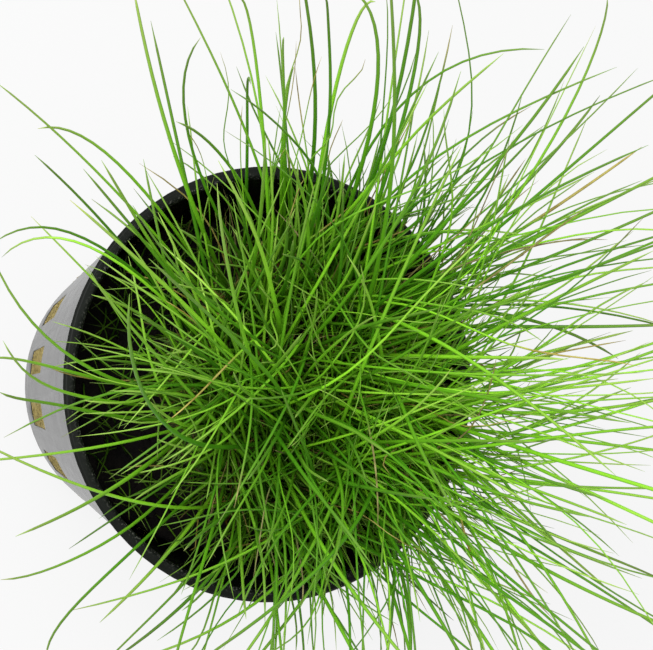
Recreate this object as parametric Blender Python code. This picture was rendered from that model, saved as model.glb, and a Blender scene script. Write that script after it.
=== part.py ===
"""A pot of dwarf hairgrass, an aquarium foreground plant.

A slotted black net pot holds a plug of mineral wool. A mat of runners lies on the plug, and plantlets stand in
it, each a small crown with up to six needle-like blades. Metres, +Z up. The origin is the centre of the pot's
foot, on the surface that it stands on. The clump grows nearer to the pot's +Y side.
"""

import math
import random

import bmesh
import bpy
import numpy as np

MM = 0.001
GAP = 0.35 * MM  # between pieces that would touch

# Net pot
POT_HEIGHT = 50 * MM
RIM_RADIUS = 27.5 * MM
LIP_HEIGHT = 1 * MM
LIP_WIDTH = 1.6 * MM
TOP_WALL_RADIUS = 27.12 * MM  # were the taper to run on to the pot's top
FOOT_RADIUS = 19.1 * MM
WALL = 1.1 * MM
FLOOR = 1.5 * MM
EDGE = 0.35 * MM
SLOT_COUNT = 18
COLUMNS_PER_SLOT = 4
SLOT_DEGREES = 9.5
FIRST_SLOT_DEGREES = 276
SLOT_BOTTOM = 7 * MM
SLOT_TOP = 20 * MM
FLOOR_SLOT_INNER = 8 * MM
FLOOR_SLOT_OUTER = 15 * MM

# Uneven tops of the wool and the mat, as waves per metre along X, along Y and across both
WAVES = (410, 370, 230)
WAVE_PHASES = (1.3, 0.4)

# Mineral-wool plug and runner mat
WOOL_TOP = 30 * MM
WOOL_SLOPE = 0.06
WOOL_LUMPS = 0.5 * MM
WOOL_DENTS = 0.25 * MM
WOOL_DENT_TURNS = (5, 3)
WOOL_DENT_TWIST = 9
WOOL_SEGMENTS = 36
WOOL_LEVELS = (0.0, 0.35, 0.7, 0.96)
WOOL_RINGS = (0.92, 0.6, 0.3)
MAT_CENTRE = np.array([2.0, 7.0]) * MM
MAT_RADII = np.array([17.5, 14.5]) * MM
MAT_REACH = 22 * MM  # furthest from the pot's axis
MAT_TOP = 41.5 * MM
MAT_SLOPE = 0.42
MAT_DOME = 3 * MM
MAT_LUMPS = 0.4 * MM
MAT_SHOULDER = 0.65
MAT_SEGMENTS = 24
MAT_RINGS = (0.3, 0.58, 0.82, 0.96)
MAT_ROOM = 1.05
MAT_EDGE_WAVES = ((0.025, 5, 1), (0.02, 9, 0))  # share of the radius, waves round, phase

# Plantlets, with angles in degrees
TUFT_COUNT = 40
BLADES_PER_TUFT = 6
SECTOR = 360 / BLADES_PER_TUFT
CLUMP_CENTRE = np.array([2.4, 7.4]) * MM
CLUMP_RADII = np.array([15.8, 12.6]) * MM
CLUMP_REACH = 19.9 * MM
CROWN_RADIUS = 1.2 * MM
CROWN_HEIGHT = 1.2 * MM
CROWN_ROOT_SHARE = 0.62
BLADE_RADIUS = 0.3 * MM
BLADE_GAP = 0.15 * MM
BLADE_TIP_SHARE = 0.55
BLADE_SIDES = 3
BLADE_RINGS = (0.06, 0.3, 0.55, 0.8)
AHEAD = 0.01  # of a blade's length
BLADE_LENGTHS = (46 * MM, 104 * MM)
LENGTH_POWER = 1.8  # above 1, short blades outnumber long ones
EDGE_LEAN = 46
EDGE_LEAN_POWER = 1.2
CLUMP_LEAN = 12
CLUMP_HEADING = 50
HEADING_SCATTER = 76
LEAN_SCATTER = 14
DIVERGENCE = (8, 36)
BEND = (-8, 38)
SWAY_SCATTER = 22
MOST_LEAN = 68
MOST_END_LEAN = 120
RIM_LEAN_SHARE = 0.65
HELD_BACK_BEND = 0.6
SHORT_SIDES = ((270, 0.34, 1), (135, 0.45, 4))  # azimuth, most that is cut from a blade, narrowness
FULL_CUT_LEAN = 45
TRIES = 120
SHRINK_PER_TRY = 0.985
SAMPLES_PER_STRETCH = 16
STRAYS_PER_TUFT = 2
STRAY_LEAN_SHARE = 0.8
SEED = 6

# Blades that stand out from the clump, in millimetres: root (x, y), middle (x, y, z), tip (x, y, z)
STRAY_BLADES = (
    ((-7, -3), (-27, -17, 70), (-45, -26, 85)),
    ((-6, 2), (-23, -21, 62), (-36, -41, 80)),
    ((-6, 0), (-26, -20, 61), (-31, -35, 74)),
    ((-3, -2), (-17, -20, 58), (-28, -36, 76)),
    ((-4, -3), (-18, -26, 66), (-19, -41, 75)),
    ((-2, -3), (-17, -27, 70), (-18, -37, 62)),
    ((2, -2), (-4, -27, 62), (-18, -42, 78)),
    ((3, -3), (-1, -30, 65), (-8, -43, 81)),
    ((1, -3), (-4, -29, 61), (-6, -42, 73)),
    ((4, -3), (1, -27, 60), (-3, -42, 76)),
    ((6, -2), (16, -25, 58), (18, -43, 72)),
    ((7, 0), (20, -28, 64), (26, -40, 80)),
    ((-8, 3), (-28, -16, 72), (-38, -22, 95)),
    ((-9, 6), (-25, -7, 62), (-31, -21, 80)),
    ((-11, 10), (-32, 10, 72), (-36, 21, 90)),
    ((0, 18), (-27, 26, 80), (-40, 21, 105)),
    ((3, 2), (-7, -17, 85), (-21, -30, 118)),
    ((0, 8), (-10, -18, 80), (-20, -34, 104)),
    ((8, 4), (3, -24, 80), (-12, -35, 104)),
    ((-12, 4), (-32, -5, 73), (-39, -9, 86)),
    ((-13, 6), (-30, -3, 68), (-36, -6, 80)),
    ((-11, 1), (-31, -8, 69), (-35, -11, 79)),
    ((-5, 4), (-35, -10, 79), (-43, -16, 90)),
    ((-8, 7), (-34, -2, 80), (-42, -9, 96)),
    ((-8, 8), (-35, 1, 75), (-42, 1, 88)),
    ((-11, 11), (-33, 4, 80), (-43, -3, 92)),
    ((-7, 10), (-31, 9, 77), (-43, 5, 90)),
)


def wall_radius(z):
    """Outer radius of the pot's tapered wall at a height."""
    return FOOT_RADIUS + (TOP_WALL_RADIUS - FOOT_RADIUS) * z / POT_HEIGHT


def bore_radius(z):
    return wall_radius(z) - WALL


def lumps(x, y, size):
    """A smooth uneven surface, between about -size and size."""
    along_x, along_y, across = WAVES
    checks = math.sin(along_x * x + WAVE_PHASES[0]) * math.cos(along_y * y)
    ridges = math.sin(across * (x + y) + WAVE_PHASES[1])
    return size * 0.5 * (checks + ridges)


def wool_top(x, y):
    return WOOL_TOP + WOOL_SLOPE * y + lumps(x, y, WOOL_LUMPS)


def mat_share(x, y):
    """How far a place is from the mat's middle, where 1 is the mat's edge."""
    return np.linalg.norm((np.array([x, y]) - MAT_CENTRE) / MAT_RADII)


def mat_top(x, y):
    plane = MAT_TOP + MAT_SLOPE * (y - MAT_CENTRE[1])
    return plane - MAT_DOME * mat_share(x, y) ** 2 + lumps(x, y, MAT_LUMPS)


def material(name, colour, roughness):
    made = bpy.data.materials.new(name)
    made.use_nodes = True
    shader = made.node_tree.nodes["Principled BSDF"]
    shader.inputs["Base Color"].default_value = (*colour, 1)
    shader.inputs["Roughness"].default_value = roughness
    shader.inputs["Metallic"].default_value = 0
    return made


def add_object(name, shape, surface, crease=30):
    """Makes the closed bmesh an object, with flat areas kept flat and round ones smooth."""
    bmesh.ops.recalc_face_normals(shape, faces=shape.faces)
    mesh = bpy.data.meshes.new(name)
    shape.to_mesh(mesh)
    shape.free()
    mesh.shade_smooth()
    mesh.set_sharp_from_angle(angle=math.radians(crease))
    mesh.materials.append(surface)
    made = bpy.data.objects.new(name, mesh)
    bpy.context.scene.collection.objects.link(made)
    return made


def ring(shape, points):
    return [shape.verts.new(point) for point in points]


def join_rings(shape, lower, upper):
    """Faces between two closed rings of the same count."""
    for i, corner in enumerate(lower):
        j = (i + 1) % len(lower)
        shape.faces.new((corner, lower[j], upper[j], upper[i]))


def fan(shape, rim, centre):
    for i, corner in enumerate(rim):
        shape.faces.new((corner, rim[(i + 1) % len(rim)], centre))


def pot_profile():
    """The turned section as (radius, height), from the foot's centre up the outside and back down the inside."""
    under_lip = POT_HEIGHT - LIP_HEIGHT
    lip_inner = RIM_RADIUS - LIP_WIDTH
    outside = [
        (FLOOR_SLOT_INNER, 0),
        (FLOOR_SLOT_OUTER, 0),
        (FOOT_RADIUS - 2 * EDGE, 0),
        (wall_radius(2 * EDGE), 2 * EDGE),
        (wall_radius(SLOT_BOTTOM), SLOT_BOTTOM),
        (wall_radius(SLOT_TOP), SLOT_TOP),
        (wall_radius(under_lip), under_lip),
        (RIM_RADIUS, POT_HEIGHT - EDGE),
        (RIM_RADIUS - EDGE, POT_HEIGHT),
    ]
    inside = [
        (lip_inner + EDGE, POT_HEIGHT),
        (lip_inner, POT_HEIGHT - EDGE),
        (bore_radius(under_lip - 2 * EDGE), under_lip - 2 * EDGE),
        (bore_radius(SLOT_TOP), SLOT_TOP),
        (bore_radius(SLOT_BOTTOM), SLOT_BOTTOM),
        (bore_radius(FLOOR), FLOOR),
        (FLOOR_SLOT_OUTER, FLOOR),
        (FLOOR_SLOT_INNER, FLOOR),
    ]
    return outside + inside


def pot_columns():
    """Angles round the pot, in degrees: each slot takes the first two columns of its sector."""
    sector = 360 / SLOT_COUNT
    offsets = (-SLOT_DEGREES / 2, 0, SLOT_DEGREES / 2, sector / 2)  # as many as COLUMNS_PER_SLOT
    return [FIRST_SLOT_DEGREES + sector * k + offset for k in range(SLOT_COUNT) for offset in offsets]


def frame_opening(shape, rows, columns, outer_rows, inner_rows):
    """Closes the four sides of an opening through the wall, between its outer and inner edges."""
    for outer, inner in zip(outer_rows, inner_rows):
        for j, k in zip(columns, columns[1:]):
            shape.faces.new((rows[outer][j], rows[outer][k], rows[inner][k], rows[inner][j]))
    for j in (columns[0], columns[-1]):
        low, high = outer_rows
        back_low, back_high = inner_rows
        shape.faces.new((rows[low][j], rows[high][j], rows[back_high][j], rows[back_low][j]))


def make_net_pot(surface):
    shape = bmesh.new()
    profile = pot_profile()
    angles = [math.radians(degrees) for degrees in pot_columns()]
    rows = [ring(shape, [(r * math.cos(a), r * math.sin(a), z) for a in angles]) for r, z in profile]
    heights = [z for _, z in profile]
    slot_low, slot_high = (heights.index(z) for z in (SLOT_BOTTOM, SLOT_TOP))
    back_high = slot_high + 1 + heights[slot_high + 1 :].index(SLOT_TOP)
    slot = ((slot_low, slot_high), (back_high + 1, back_high))
    last = len(profile) - 1
    floor_slot = ((0, 1), (last, last - 1))
    open_rows = {slot_low, back_high, 0, last - 1}
    count = len(angles)
    for i in range(last):
        for j in range(count):
            if i in open_rows and j % COLUMNS_PER_SLOT < 2:
                continue
            k = (j + 1) % count
            shape.faces.new((rows[i][j], rows[i][k], rows[i + 1][k], rows[i + 1][j]))
    for first in range(0, count, COLUMNS_PER_SLOT):
        columns = (first, first + 1, first + 2)
        for outer_rows, inner_rows in (slot, floor_slot):
            frame_opening(shape, rows, columns, outer_rows, inner_rows)
    fan(shape, rows[0], shape.verts.new((0, 0, 0)))
    fan(shape, rows[last], shape.verts.new((0, 0, FLOOR)))
    return add_object("net_pot", shape, surface)


def make_wool_plug(surface):
    """A plug that stands on the pot's floor, a little inside its wall, with an uneven top."""
    shape = bmesh.new()
    foot = FLOOR + GAP
    angles = [math.tau * k / WOOL_SEGMENTS for k in range(WOOL_SEGMENTS)]
    fine, coarse = WOOL_DENT_TURNS

    def side(level):
        points = []
        for angle in angles:
            wave = math.sin(fine * angle + WOOL_DENT_TWIST * level) * math.cos(coarse * angle)
            uneven = WOOL_DENTS * (1 + wave)
            top_radius = bore_radius(WOOL_TOP) - GAP
            edge_top = wool_top(top_radius * math.cos(angle), top_radius * math.sin(angle))
            z = foot + (edge_top - foot) * level
            radius = bore_radius(z) - GAP - uneven
            points.append((radius * math.cos(angle), radius * math.sin(angle), z))
        return points

    rings = [ring(shape, side(level)) for level in WOOL_LEVELS]
    for share in WOOL_RINGS:
        radius = share * (bore_radius(WOOL_TOP) - GAP)
        flat = [(radius * math.cos(angle), radius * math.sin(angle)) for angle in angles]
        rings.append(ring(shape, [(x, y, wool_top(x, y)) for x, y in flat]))
    for lower, upper in zip(rings, rings[1:]):
        join_rings(shape, lower, upper)
    fan(shape, rings[-1], shape.verts.new((0, 0, wool_top(0, 0))))
    fan(shape, rings[0][::-1], shape.verts.new((0, 0, foot)))
    return add_object("wool_plug", shape, surface, crease=50)


def mat_outline(angle, share):
    """A point of the mat's outline, or of a smaller copy of it: uneven, and flattened along the pot's wall."""
    uneven = 1 + sum(size * math.sin(waves * angle + phase) for size, waves, phase in MAT_EDGE_WAVES)
    edge = MAT_CENTRE + MAT_RADII * uneven * np.array([math.cos(angle), math.sin(angle)])
    edge *= min(1, MAT_REACH / np.linalg.norm(edge))
    return MAT_CENTRE + share * (edge - MAT_CENTRE)


def make_runner_mat(surface):
    """The mound of runners: a thick pad whose underside follows the plug's top."""
    shape = bmesh.new()
    angles = [math.tau * k / MAT_SEGMENTS for k in range(MAT_SEGMENTS)]

    def level(share, height):
        flat = [mat_outline(angle, share) for angle in angles]
        return ring(shape, [(x, y, height(x, y)) for x, y in flat])

    def underside(x, y):
        return wool_top(x, y) + GAP

    def shoulder(x, y):
        return (1 - MAT_SHOULDER) * underside(x, y) + MAT_SHOULDER * mat_top(x, y)

    lower = [level(share, underside) for share in MAT_RINGS]
    upper = [level(share, mat_top) for share in MAT_RINGS[::-1]]
    rings = lower + [level(1, shoulder)] + upper
    for inner, outer in zip(rings, rings[1:]):
        join_rings(shape, inner, outer)
    fan(shape, rings[-1], shape.verts.new((*MAT_CENTRE, mat_top(*MAT_CENTRE))))
    fan(shape, rings[0][::-1], shape.verts.new((*MAT_CENTRE, underside(*MAT_CENTRE))))
    return add_object("runner_mat", shape, surface, crease=60)


def direction(azimuth, lean):
    """The unit vector that leans this many degrees from upright."""
    a = math.radians(azimuth)
    b = math.radians(lean)
    return np.array([math.sin(b) * math.cos(a), math.sin(b) * math.sin(a), math.cos(b)])


def azimuth_and_lean(vector):
    upright = vector[2] / np.linalg.norm(vector)
    return math.degrees(math.atan2(vector[1], vector[0])), math.degrees(math.acos(min(1, upright)))


def turned(vector, axis, degrees):
    """The vector turned about a unit axis."""
    angle = math.radians(degrees)
    along = axis * np.dot(axis, vector) * (1 - math.cos(angle))
    return vector * math.cos(angle) + np.cross(axis, vector) * math.sin(angle) + along


def leaned(vector, azimuth, degrees):
    """The vector tipped over towards an azimuth."""
    axis = direction(azimuth + 90, 90)
    return turned(vector, axis, degrees)


def curve_point(curve, t):
    root, middle, tip = curve
    return (1 - t) ** 2 * root + 2 * t * (1 - t) * middle + t**2 * tip


def lean_to_clear_rim(root, azimuth):
    """The most that a blade can lean where it leaves its root and still pass inside the rim."""
    heading = direction(azimuth, 90)[:2]
    radius = RIM_RADIUS - LIP_WIDTH - 2 * GAP
    along = float(root[:2] @ heading)
    reach = -along + math.sqrt(max(0.0, along**2 + radius**2 - float(root[:2] @ root[:2])))
    return math.degrees(math.atan2(reach, POT_HEIGHT + 2 * GAP - root[2]))


def bent_blade(root, azimuth, lean, bend, sway, length):
    """A blade as a quadratic curve: it leaves its root at one lean and ends further over."""
    start = min(lean, RIM_LEAN_SHARE * lean_to_clear_rim(root, azimuth))
    end = min(lean + bend + HELD_BACK_BEND * (lean - start), MOST_END_LEAN)
    middle = root + direction(azimuth, start) * length / 2
    return root, middle, middle + direction(azimuth + sway, end) * length / 2


def blade_radius(t):
    """Half-thickness along a blade, from root to tip."""
    return BLADE_RADIUS * (1 - (1 - BLADE_TIP_SHARE) * t)


def side_share(azimuth, lean):
    """The share of its length that a blade keeps: those that lie over towards a short side are shorter."""
    cut = 0
    for side, most, narrowness in SHORT_SIDES:
        cut += most * max(0, math.cos(math.radians(azimuth - side))) ** narrowness
    return 1 - cut * min(1, lean / FULL_CUT_LEAN)


def random_length(rng):
    shortest, longest = BLADE_LENGTHS
    return shortest + (longest - shortest) * rng.random() ** LENGTH_POWER


def nearest_gaps(start, end, starts, ends):
    """The least distance from one straight stretch to each of many others."""
    u = end - start
    v = ends - starts
    w = start - starts
    uu = u @ u
    vv = (v * v).sum(axis=1)
    uv = v @ u
    uw = w @ u
    vw = (v * w).sum(axis=1)
    s = np.clip((uv * vw - vv * uw) / np.maximum(uu * vv - uv * uv, 1e-18), 0, 1)
    t = np.clip((uv * s + vw) / vv, 0, 1)
    s = np.clip((uv * t - uw) / uu, 0, 1)
    return np.linalg.norm(w + s[:, None] * u - t[:, None] * v, axis=1)


class Thicket:
    """The straight stretches of every blade and crown so far, each with the tuft that it belongs to."""

    def __init__(self):
        self.starts = np.empty((0, 3))
        self.ends = np.empty((0, 3))
        self.radii = np.empty(0)
        self.tufts = np.empty(0, int)

    def add(self, points, radius, tuft):
        self.starts = np.vstack([self.starts, points[:-1]])
        self.ends = np.vstack([self.ends, points[1:]])
        count = len(points) - 1
        self.radii = np.append(self.radii, [radius] * count)
        self.tufts = np.append(self.tufts, [tuft] * count)

    def is_clear(self, points, tuft):
        """Whether a blade of this tuft keeps its gap; where it leaves its crown it may touch its own tuft."""
        own = self.tufts == tuft
        needed = self.radii + BLADE_RADIUS + BLADE_GAP
        needed[own & (self.radii > BLADE_RADIUS)] = 0
        for i, (start, end) in enumerate(zip(points, points[1:])):
            too_near = nearest_gaps(start, end, self.starts, self.ends) < needed
            if i == 0:
                too_near &= ~own
            if too_near.any():
                return False
        return True


def is_clear_of_holder(points):
    """Whether a blade keeps off the mat, the plug and the pot's wall and lip."""
    room = BLADE_RADIUS + GAP
    for start, end in zip(points, points[1:]):
        for share in np.linspace(0, 1, SAMPLES_PER_STRETCH):
            x, y, z = start + (end - start) * share
            if z >= POT_HEIGHT + room:
                continue
            distance = math.hypot(x, y)
            if bore_radius(z) - room < distance < RIM_RADIUS + room:
                return False
            below = mat_top(x, y) if mat_share(x, y) < MAT_ROOM else wool_top(x, y)
            if distance < RIM_RADIUS and z < below + room:
                return False
    return True


def blade_nodes(curve):
    return [curve_point(curve, t) for t in (0, *BLADE_RINGS, 1)]


def crown_corners(centre, spin):
    """The crown's top corners, counter-clockwise from above."""
    return [centre + CROWN_RADIUS * direction(spin + SECTOR * k, 90) for k in range(BLADES_PER_TUFT)]


def crown_spots():
    """Crown tops, spaced evenly over the clump as seeds are in a sunflower head."""
    golden = 180 * (3 - math.sqrt(5))
    spots = []
    for i in range(TUFT_COUNT):
        share = math.sqrt((i + 0.5) / TUFT_COUNT)
        spot = CLUMP_CENTRE + CLUMP_RADII * share * direction(golden * i, 90)[:2]
        x, y = spot * min(1, CLUMP_REACH / np.linalg.norm(spot))
        under = [np.array([x, y, 0])] + crown_corners(np.array([x, y, 0]), 0)
        base = max(mat_top(point[0], point[1]) for point in under) + GAP
        spots.append(np.array([x, y, base + CROWN_HEIGHT]))
    return spots


def tuft_heading(spot, rng):
    """The direction that a tuft's blades share: outwards from the clump's middle, and towards +Y."""
    outward = spot[:2] - CLUMP_CENTRE
    share = np.linalg.norm(outward / CLUMP_RADII)
    azimuth = math.degrees(math.atan2(outward[1], outward[0])) + rng.gauss(0, HEADING_SCATTER)
    lean = max(0, EDGE_LEAN * share**EDGE_LEAN_POWER + rng.gauss(0, LEAN_SCATTER))
    return azimuth_and_lean(leaned(direction(azimuth, lean), CLUMP_HEADING, CLUMP_LEAN))


def stray_blades_of(spots):
    """Each stray blade's middle and tip, listed under the nearest crown that still has room for it."""
    found = {i: [] for i in range(len(spots))}
    for root, middle, tip in STRAY_BLADES:
        near = sorted(found, key=lambda i: np.hypot(*(spots[i][:2] - np.array(root) * MM)))
        home = next(i for i in near if len(found[i]) < STRAYS_PER_TUFT)
        found[home].append((np.array(middle) * MM, np.array(tip) * MM))
    return found


def through_middle(root, middle, tip):
    """The quadratic curve from root to tip that passes through the middle point."""
    return root, 2 * middle - (root + tip) / 2, tip


class Tuft:
    """One plantlet: its crown, the roots of its blades, and its blades' curves by sector."""

    def __init__(self, number, spot, rng):
        self.number = number
        self.spot = spot
        self.spin = rng.uniform(0, SECTOR)
        self.sectors = [self.spin + SECTOR * (k + 0.5) for k in range(BLADES_PER_TUFT)]
        out = CROWN_ROOT_SHARE * CROWN_RADIUS
        self.roots = [spot + out * direction(sector, 90) for sector in self.sectors]
        self.curves = [None] * BLADES_PER_TUFT
        self.heading = tuft_heading(spot, rng)

    def add_stray(self, middle, tip):
        """Grows a stray blade from the free sector that faces it most, and turns the others its way."""
        azimuth, lean = azimuth_and_lean(middle - self.spot)
        free = [k for k, curve in enumerate(self.curves) if curve is None]
        k = min(free, key=lambda k: abs((self.sectors[k] - azimuth + 180) % 360 - 180))
        self.curves[k] = through_middle(self.roots[k], middle, tip)
        self.heading = azimuth, lean * STRAY_LEAN_SHARE

    def grow(self, k, rng, thicket):
        """Grows a random blade in a sector, clear of all that stands, or none if every try fails."""
        shrink = 1
        for _ in range(TRIES):
            away = leaned(direction(*self.heading), self.sectors[k], rng.uniform(*DIVERGENCE))
            azimuth, lean = azimuth_and_lean(away)
            lean = min(lean, MOST_LEAN) * shrink
            length = random_length(rng) * side_share(azimuth, lean) * shrink
            bend = rng.uniform(*BEND)
            curve = bent_blade(self.roots[k], azimuth, lean, bend, rng.gauss(0, SWAY_SCATTER), length)
            nodes = blade_nodes(curve)
            if is_clear_of_holder(nodes) and thicket.is_clear(nodes, self.number):
                thicket.add(nodes, BLADE_RADIUS, self.number)
                self.curves[k] = curve
                return
            shrink *= SHRINK_PER_TRY


def plan_tufts():
    """Every tuft with its blades: first the stray blades, then the rest from the clump's edge inwards."""
    rng = random.Random(SEED)
    spots = crown_spots()
    strays = stray_blades_of(spots)
    thicket = Thicket()
    tufts = [Tuft(i, spot, rng) for i, spot in enumerate(spots)]
    for tuft in tufts:
        foot = tuft.spot - np.array([0, 0, CROWN_HEIGHT])
        thicket.add([foot, tuft.spot], CROWN_RADIUS, tuft.number)
    for tuft in tufts:
        for middle, tip in strays[tuft.number]:
            tuft.add_stray(middle, tip)
        for curve in tuft.curves:
            if curve is not None:
                thicket.add(blade_nodes(curve), BLADE_RADIUS, tuft.number)
    for tuft in reversed(tufts):
        for k in range(BLADES_PER_TUFT):
            if tuft.curves[k] is None:
                tuft.grow(k, rng, thicket)
    return tufts


def add_blade(shape, base, curve):
    """Extrudes a three-sided blade from a crown's top triangle along its curve to a point."""
    previous = base
    corner = np.array(base[0].co[:]) - curve[0]
    for t in BLADE_RINGS:
        centre = curve_point(curve, t)
        ahead = curve_point(curve, t + AHEAD) - centre
        ahead /= np.linalg.norm(ahead)
        corner = corner - ahead * (corner @ ahead)
        corner /= np.linalg.norm(corner)
        turns = [360 / BLADE_SIDES * k for k in range(BLADE_SIDES)]
        current = ring(shape, [centre + blade_radius(t) * turned(corner, ahead, turn) for turn in turns])
        join_rings(shape, previous, current)
        previous = current
    fan(shape, previous, shape.verts.new(curve[2]))


def make_tuft(tuft, surface):
    """A low six-sided crown with a blade growing from each sector of its top."""
    shape = bmesh.new()
    corners = crown_corners(tuft.spot, tuft.spin)
    down = np.array([0, 0, CROWN_HEIGHT])
    top = ring(shape, corners)
    bottom = ring(shape, [corner - down for corner in corners])
    centre = shape.verts.new(tuft.spot)
    join_rings(shape, bottom, top)
    shape.faces.new(bottom[::-1])
    for k, curve in enumerate(tuft.curves):
        base = [centre, top[k], top[(k + 1) % len(top)]]
        if curve is None:
            shape.faces.new(base)
        else:
            add_blade(shape, base, curve)
    return add_object(f"tuft_{tuft.number + 1:02d}", shape, surface, crease=70)


def main():
    for existing in list(bpy.data.objects):
        bpy.data.objects.remove(existing, do_unlink=True)
    make_net_pot(material("black_plastic", (0.012, 0.012, 0.012), 0.32))
    make_wool_plug(material("mineral_wool", (0.32, 0.26, 0.1), 0.95))
    make_runner_mat(material("runners", (0.09, 0.12, 0.03), 0.85))
    leaf = material("blade_green", (0.13, 0.36, 0.03), 0.45)
    for tuft in plan_tufts():
        make_tuft(tuft, leaf)


main()
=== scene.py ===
import math
import random
from typing import NamedTuple

import bmesh
import bpy
import numpy as np
from mathutils import Matrix, Vector


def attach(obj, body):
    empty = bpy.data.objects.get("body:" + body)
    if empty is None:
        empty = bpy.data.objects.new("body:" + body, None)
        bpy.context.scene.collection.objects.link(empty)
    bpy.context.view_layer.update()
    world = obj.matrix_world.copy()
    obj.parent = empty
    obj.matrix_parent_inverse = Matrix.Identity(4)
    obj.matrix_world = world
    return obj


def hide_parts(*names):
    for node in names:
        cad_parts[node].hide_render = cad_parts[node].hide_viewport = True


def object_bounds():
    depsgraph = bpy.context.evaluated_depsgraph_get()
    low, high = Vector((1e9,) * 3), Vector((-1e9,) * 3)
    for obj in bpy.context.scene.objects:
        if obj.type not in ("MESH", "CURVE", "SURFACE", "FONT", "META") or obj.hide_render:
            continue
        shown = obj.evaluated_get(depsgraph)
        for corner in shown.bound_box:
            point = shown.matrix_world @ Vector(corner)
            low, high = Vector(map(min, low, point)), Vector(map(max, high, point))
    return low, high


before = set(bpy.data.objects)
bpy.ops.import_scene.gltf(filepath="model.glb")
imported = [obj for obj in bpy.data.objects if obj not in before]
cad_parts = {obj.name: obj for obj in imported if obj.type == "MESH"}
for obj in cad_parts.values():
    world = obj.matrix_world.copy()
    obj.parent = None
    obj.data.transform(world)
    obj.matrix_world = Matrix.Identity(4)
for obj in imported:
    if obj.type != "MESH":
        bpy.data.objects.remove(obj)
cad_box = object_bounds()

MM = 0.001
GAP = 0.35 * MM  # between pieces that would touch


def mm(*values):
    """Millimetres as metres."""
    return tuple(value * MM for value in values)


class Kind(NamedTuple):
    """A kind of blade. A pair is the least and the most, and angles are in degrees."""

    count: int
    radii: tuple
    waves: tuple  # how far it wavers sideways
    lengths: tuple = ()
    leans: tuple = ()
    bends: tuple = ()
    sway: float = 0  # scatter of the sideways turn between middle and tip
    scatter: float = 0  # scatter of its direction
    turns: float = 1.5  # of its sideways wave, at most
    power: float = 1  # above 1, short blades outnumber long ones
    steps: int = 14
    sides: int = 5
    spread: float = 1.1  # how far from the crown's middle it roots, in crown radii
    old_share: float = 0.015  # share of them that has browned far down
    tint: tuple = (0.5, 0.25)  # middle and scatter, where 0 is deep green and 1 is lime


# Net pot
POT_HEIGHT = 50 * MM
RIM_RADIUS = 27.5 * MM
LIP_HEIGHT = 1 * MM
LIP_WIDTH = 1.6 * MM
LIP_EDGE_BAND = 0.9 * MM  # how far the painted highlight specks reach from the lip's inner edge
TOP_WALL_RADIUS = 27.12 * MM  # were the taper to run on to the pot's top
FOOT_RADIUS = 19.1 * MM
WALL = 1.1 * MM
FLOOR = 1.5 * MM
SHARP_EDGE = math.radians(25)
EDGE_ROUND = 0.16 * MM
CREASE = math.radians(40)
SLOT_COUNT = 18
SLOT_SECTOR = math.tau / SLOT_COUNT
HALF_SLOT = math.radians(9.5 / 2)
FIRST_SLOT = math.radians(276)
SLOT_BOTTOM = 7 * MM
SLOT_TOP = 20 * MM

# Uneven tops of the wool and the mat, as waves per metre along X, along Y and across both
WAVES = (410, 370, 230)
WAVE_PHASES = (1.3, 0.4)

# Mineral-wool plug
WOOL_TOP = 30 * MM
WOOL_SLOPE = 0.06
WOOL_LUMPS = 0.5 * MM
WOOL_ROOM = 0.35 * MM  # left for its rough surface, beyond the gap to the wall
DAMP_FROM = 24.5 * MM
DAMP_FADE = 3.5 * MM
DAMP_PATCHES = 6 * MM
SLOT_SWELL = 2.3 * MM  # how far the wool swells into a slot
SWELL_DEPTH = 2 * MM  # how deep inside the wall the swelling starts
SLOT_RECESS = 0.12 * MM  # how far it stays behind the wall's outer face
FADE_ACROSS = (1.03, 1.12)  # where the swelling fades out beside a slot, in the slot's half-widths
FADE_UP = (1.0, 1.07)  # and over and under it, in its half-heights
SLOT_COLUMNS = (  # columns of the plug's mesh from each slot's middle, in half-widths
    -1.12, -1.03, -0.97, -0.85, -0.6, -0.3, 0, 0.3, 0.6, 0.85, 0.97, 1.03, 1.12, 1.4, 1.8, 2.1, 2.4, 2.8,
)
SLOT_FIBRES = 2400
TOP_FIBRES = 500
FIBRE_LENGTHS = mm(0.8, 2.6)
FIBRE_STEPS = 6
FIBRE_ARCH = 0.35 * MM

# Runner mat
MAT_CENTRE = np.array([2.0, 7.0]) * MM
MAT_RADII = np.array([17.5, 14.5]) * MM
MAT_REACH = 22 * MM  # furthest from the pot's axis
MAT_TOP = 41.5 * MM
MAT_SLOPE = 0.42
MAT_DOME = 3 * MM
MAT_LUMPS = 0.4 * MM
MAT_ROOM = 1.05
MAT_EDGE_WAVES = ((0.025, 5, 1), (0.02, 9, 0))  # share of the radius, waves round, phase
MAT_COLUMNS = 120
MAT_STEP = (0.94, 1.08)  # where the ground steps down from the mat's edge to the plug, as shares of the mat
HOLLOWS = (mm(-7.3, 6), mm(5.5, 1.5))  # middles of the gaps in the growth, where the mat is painted near-black as shade
HOLLOW_RADIUS = 5.2 * MM
GAP_SHADE_FADE = 0.4  # share of that radius, over which the painted shade fades out
RUNNERS = 190
RUNNER_RADII = mm(0.10, 0.30)
RUNNER_STEPS = (7, 20)
RUNNER_STEP = 0.9 * MM
RUNNER_ARCHES = mm(0.1, 1.2)
RUNNERS_ANY_WAY = 0.6  # share that doesn't head straight outwards
RUNNER_END = 1.12

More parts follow.
